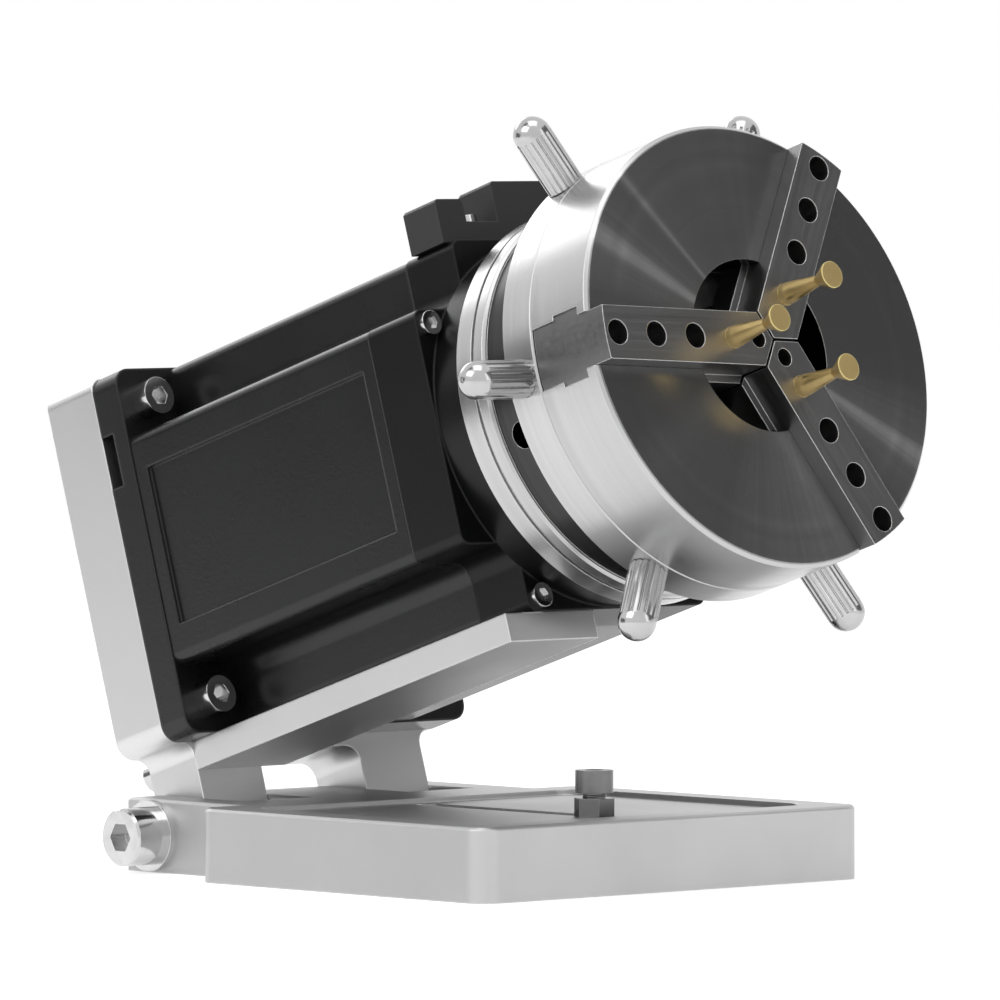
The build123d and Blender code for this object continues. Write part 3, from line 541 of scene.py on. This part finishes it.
screw_chrome = plated("screw_chrome", 0.60, 0.14, 0.95, 120.0)
handle_steel = plated("handle_steel", 0.50, 0.16, 0.9, 90.0)
screw_dark = plated("screw_dark", 0.18, 0.24, 0.6, 150.0)
laminations = plated("laminations", 0.20, 0.35, 0.4, 200.0)
give(screw_chrome, "pivot_bolt", "pivot_washers", "pivot_nut", "arm_screws")
give(screw_chrome, "flange_screws", "cap_screws", "connector_screws")
give(handle_steel, "lever_handles")
give(screw_dark, "base_clamp_screw", "base_clamp_nut", "base_slide_nut")
give(screw_dark, "adapter_grub_screws", "adapter_bolts")
give(laminations, "stator_core", "rotor_core")


# %% [markdown]
# The connector is moulded in black plastic. Plastic isn't metallic, and a mould with
# a spark-eroded surface leaves a fine, slightly lighter grain. The windings inside
# the motor are enamelled copper, with a lacquer shine.

# %% Material: plastic and copper
def moulded_plastic(name, colour):
    material, tree, shader, place = start_material(name, metallic=0.0)
    edges = group_node(tree, edge_group, Radius=0.4 * MM)
    grain = group_node(tree, grain_group, Scale=1800.0, Patches=40.0)
    join(tree, place, grain.inputs["Vector"])
    body = blend_colours(tree, grain.outputs["Patch"], grey(colour * 0.9), grey(colour * 1.15))
    paint(tree, shader, edges, body, grey(0.14), 0.4)
    shine(tree, shader, grain.outputs["Height"], 0.3, 0.7, 0.42, 0.55)
    texture(tree, shader, edges, grain.outputs["Height"], 0.05 * MM, 0.35)
    return material


def enamelled_copper(name):
    material, tree, shader, place = start_material(name, metallic=0.9)
    shader.inputs["Coat Weight"].default_value = 0.6
    edges = group_node(tree, edge_group, Radius=0.3 * MM)
    marks = group_node(tree, turned_group, Centre=tuple(AXIS_POINT), Axis=tuple(AXIS_DIR), Rings=1400.0)
    join(tree, place, marks.inputs["Vector"])
    body = blend_colours(tree, marks.outputs["Tone"], (0.50, 0.20, 0.08), (0.66, 0.30, 0.14))
    join(tree, body, shader.inputs["Base Color"])
    shine(tree, shader, marks.outputs["Height"], 0.3, 0.7, 0.28, 0.40)
    texture(tree, shader, edges, marks.outputs["Height"], 0.30 * MM, 0.6)
    return material


connector_black = moulded_plastic("connector_black", 0.020)
winding_copper = enamelled_copper("winding_copper")
give(connector_black, "connector_housing")
give(winding_copper, "stator_windings")


# %% [markdown]
# The screws in the CAD model are plain cylinders. Where a thread shows, on the clamp
# screw's neck and on the pivot bolt's far end, a ridge is wound round the cylinder as
# a helix of small triangles. It rides on the base, as the screw does.

# %% Threads that show
TURN_STEPS = 24               # sections of the ridge in one turn
FLANK = 0.42                  # half the ridge's foot, as a share of the pitch
SUNK = 0.05 * MM              # how deep its foot lies in the cylinder
RIDGE_H = 0.30 * MM


def thread(name, centre, axis, radius, pitch, length, material):
    """A V-shaped ridge wound round a cylinder, built point by point."""
    axis = Vector(axis).normalized()
    first = axis.orthogonal().normalized()
    second = axis.cross(first)
    count = int(length / pitch * TURN_STEPS)
    run_out = TURN_STEPS / 2
    mesh = bmesh.new()
    previous = None
    for step in range(count + 1):
        angle = 2 * math.pi * step / TURN_STEPS
        out = first * math.cos(angle) + second * math.sin(angle)
        station = Vector(centre) + axis * (pitch * step / TURN_STEPS)
        fade = min(1.0, step / run_out, (count - step) / run_out)
        root = radius - SUNK
        crest = radius + RIDGE_H * fade
        section = [
            mesh.verts.new(station + out * root - axis * pitch * FLANK),
            mesh.verts.new(station + out * crest),
            mesh.verts.new(station + out * root + axis * pitch * FLANK),
        ]
        if previous:
            for k in range(2):
                mesh.faces.new((previous[k], previous[k + 1], section[k + 1], section[k]))
        previous = section
    data = bpy.data.meshes.new(name)
    mesh.normal_update()
    mesh.to_mesh(data)
    mesh.free()
    for polygon in data.polygons:
        polygon.use_smooth = True
    piece = bpy.data.objects.new(name, data)
    bpy.context.scene.collection.objects.link(piece)
    data.materials.append(material)
    print(name, "with", len(data.polygons), "faces")
    return piece


def box_of(name):
    low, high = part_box(name)
    return Vector(low), Vector(high)


HEAD_H = 5.0 * MM             # the clamp screw's head
COARSE_PITCH = 0.8 * MM
CLEAR = 0.1 * MM              # between a thread's end and the face beside it

nut_low, nut_high = box_of("base_clamp_nut")
screw_low, screw_high = box_of("base_clamp_screw")
middle = (nut_low + nut_high) / 2
foot = (middle.x, middle.y, nut_high.z + CLEAR)
neck = screw_high.z - HEAD_H - nut_high.z - 2 * CLEAR
clamp_thread = thread("clamp_thread", foot, (0, 0, 1), 2.5 * MM, COARSE_PITCH, neck, screw_dark)
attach(clamp_thread, "base")

bolt_low, bolt_high = box_of("pivot_bolt")
nut_low, nut_high = box_of("pivot_nut")
middle = (nut_low + nut_high) / 2
foot = (nut_high.x + 3 * CLEAR, middle.y, middle.z)
tail = bolt_high.x - nut_high.x - 7 * CLEAR
pivot_thread = thread("pivot_thread", foot, (1, 0, 0), 3.75 * MM, COARSE_PITCH, tail, screw_chrome)
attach(pivot_thread, "base")

# %% [markdown]
# The camera stands where the photograph was taken from, a long way off with a long
# lens, so the base's far edges are nearly as long as its near ones. Its place was
# found by fitting the corners of the base, the bracket and the chuck's rim.

# %% Camera
AZIMUTH = math.radians(-43.0)
ELEVATION = math.radians(2.1)
DISTANCE = 2.39
FOCAL_PIXELS = 10925.0
IMAGE_PIXELS = 1000.0
SENSOR = 36.0
TARGET = Vector((-0.0260, -0.0179, 0.0856))

back = Vector((
    math.sin(AZIMUTH) * math.cos(ELEVATION),
    -math.cos(AZIMUTH) * math.cos(ELEVATION),
    math.sin(ELEVATION),
))
right = Vector((math.cos(AZIMUTH), math.sin(AZIMUTH), 0.0))
up = back.cross(right)
camera_data = bpy.data.cameras.new("camera")
camera_data.sensor_width = SENSOR
camera_data.sensor_height = SENSOR
camera_data.sensor_fit = "HORIZONTAL"
camera_data.lens = SENSOR * FOCAL_PIXELS / IMAGE_PIXELS
camera_data.clip_end = 100.0
camera = bpy.data.objects.new("camera", camera_data)
axes = Matrix((right, up, back)).transposed().to_4x4()
camera.matrix_world = Matrix.Translation(TARGET + back * DISTANCE) @ axes
bpy.context.scene.collection.objects.link(camera)
bpy.context.scene.camera = camera
print("lens", round(camera_data.lens, 1), "mm")

# %% [markdown]
# The floor is plain and pale, and keeps the soft shadow under the base. The world is
# white for what the camera, mirrors and glass see, and a little dimmer where it only
# lights, so the pale metal doesn't wash out.

# %% Floor and world
floor_mesh = bpy.data.meshes.new("floor")
FLOOR_HALF = 30.0
corners = [(x * FLOOR_HALF, y * FLOOR_HALF, 0) for x, y in ((-1, -1), (1, -1), (1, 1), (-1, 1))]
floor_mesh.from_pydata(corners, [], [(0, 1, 2, 3)])
floor = bpy.data.objects.new("floor", floor_mesh)
bpy.context.scene.collection.objects.link(floor)
floor_paint = bpy.data.materials.new("floor_paint")
floor_paint.use_nodes = True
floor_shader = next(n for n in floor_paint.node_tree.nodes if n.type == "BSDF_PRINCIPLED")
floor_shader.inputs["Base Color"].default_value = (0.93, 0.93, 0.93, 1.0)
floor_shader.inputs["Roughness"].default_value = 0.9
floor_shader.inputs["Specular IOR Level"].default_value = 0.0
floor_shader.inputs["Emission Color"].default_value = (1.0, 1.0, 1.0, 1.0)
FLOOR_GLOW = 0.53             # what the floor lacks to white under the dim world
floor_tree = floor_paint.node_tree


def seen_rays(tree):
    """1 for the rays that show the background: the camera's, mirrors' and glass's."""
    path = add(tree, "ShaderNodeLightPath")
    two = scalar_math(tree, "MAXIMUM", path.outputs["Is Camera Ray"], path.outputs["Is Glossy Ray"])
    return scalar_math(tree, "MAXIMUM", two, path.outputs["Is Transmission Ray"])


glow = scalar_math(floor_tree, "MULTIPLY", seen_rays(floor_tree), FLOOR_GLOW)
join(floor_tree, glow, floor_shader.inputs["Emission Strength"])
floor_mesh.materials.append(floor_paint)

world = bpy.data.worlds.new("world")
world.use_nodes = True
bpy.context.scene.world = world
tree = world.node_tree
tree.nodes.clear()
AMBIENT = 0.52
seen = add(tree, "ShaderNodeBackground")
seen.inputs["Color"].default_value = (1.0, 1.0, 1.0, 1.0)
lit = add(tree, "ShaderNodeBackground")
lit.inputs["Color"].default_value = (AMBIENT, AMBIENT, AMBIENT, 1.0)
choose = add(tree, "ShaderNodeMixShader")
join(tree, seen_rays(tree), choose.inputs["Fac"])
join(tree, lit.outputs["Background"], choose.inputs[1])
join(tree, seen.outputs["Background"], choose.inputs[2])
surface = add(tree, "ShaderNodeOutputWorld")
join(tree, choose.outputs["Shader"], surface.inputs["Surface"])


# %% [markdown]
# Four large soft lamps make the studio: a key from the upper left of the camera, a
# weaker one from the right, one overhead, and a faint one low behind the chuck, which
# lights the far edges. Large lamps give metal long, soft highlights in place of points.

# %% Lamps
MIDDLE = Vector((0, 0, 80 * MM))  # what the lamps and cards are aimed at


def aimed(azimuth, elevation, distance):
    """A place this far from the object, turned to face it. Azimuth 0 is in front."""
    a, e = math.radians(azimuth), math.radians(elevation)
    way = Vector((math.sin(a) * math.cos(e), -math.cos(a) * math.cos(e), math.sin(e)))
    return Matrix.Translation(MIDDLE + way * distance) @ way.to_track_quat("Z", "Y").to_matrix().to_4x4()


def soft_lamp(name, azimuth, elevation, distance, width, height, power):
    """An area lamp aimed at the object."""
    data = bpy.data.lights.new(name, "AREA")
    data.shape = "RECTANGLE"
    data.size = width
    data.size_y = height
    data.energy = power
    lamp = bpy.data.objects.new(name, data)
    lamp.matrix_world = aimed(azimuth, elevation, distance)
    bpy.context.scene.collection.objects.link(lamp)


soft_lamp("key_lamp", azimuth=-95, elevation=38, distance=1.4, width=0.9, height=0.7, power=4.5)
soft_lamp("fill_lamp", azimuth=25, elevation=20, distance=1.6, width=0.8, height=1.0, power=2.0)
soft_lamp("top_lamp", azimuth=-40, elevation=80, distance=1.5, width=1.0, height=1.0, power=4.0)
soft_lamp("rim_lamp", azimuth=168, elevation=27, distance=1.5, width=1.0, height=0.45, power=2.5)

# %% [markdown]
# Polished metal shows whatever stands round it, and in an all-white room it would
# look like white paint. Studios hang dark cards just outside the picture for this.
# Only the reflections see these cards, so they take no light from the object.

# %% Dark cards
card_paint = bpy.data.materials.new("card_paint")
card_paint.use_nodes = True
card_shader = next(n for n in card_paint.node_tree.nodes if n.type == "BSDF_PRINCIPLED")
card_shader.inputs["Base Color"].default_value = (0.22, 0.22, 0.22, 1.0)
card_shader.inputs["Roughness"].default_value = 0.9


def dark_card(name, azimuth, elevation, distance, width, height):
    """A card aimed at the object, which only mirrors can see."""
    data = bpy.data.meshes.new(name)
    w, h = width / 2, height / 2
    data.from_pydata([(-w, -h, 0), (w, -h, 0), (w, h, 0), (-w, h, 0)], [], [(0, 1, 2, 3)])
    data.materials.append(card_paint)
    card = bpy.data.objects.new(name, data)
    card.matrix_world = aimed(azimuth, elevation, distance)
    card.visible_camera = False
    card.visible_diffuse = False
    card.visible_shadow = False
    bpy.context.scene.collection.objects.link(card)


dark_card("front_card", azimuth=48, elevation=24, distance=1.5, width=1.3, height=1.0)
dark_card("high_card", azimuth=-120, elevation=55, distance=1.5, width=0.4, height=0.8)
dark_card("left_card", azimuth=-137, elevation=3, distance=1.4, width=1.0, height=0.5)

bpy.context.scene.view_settings.view_transform = "Standard"
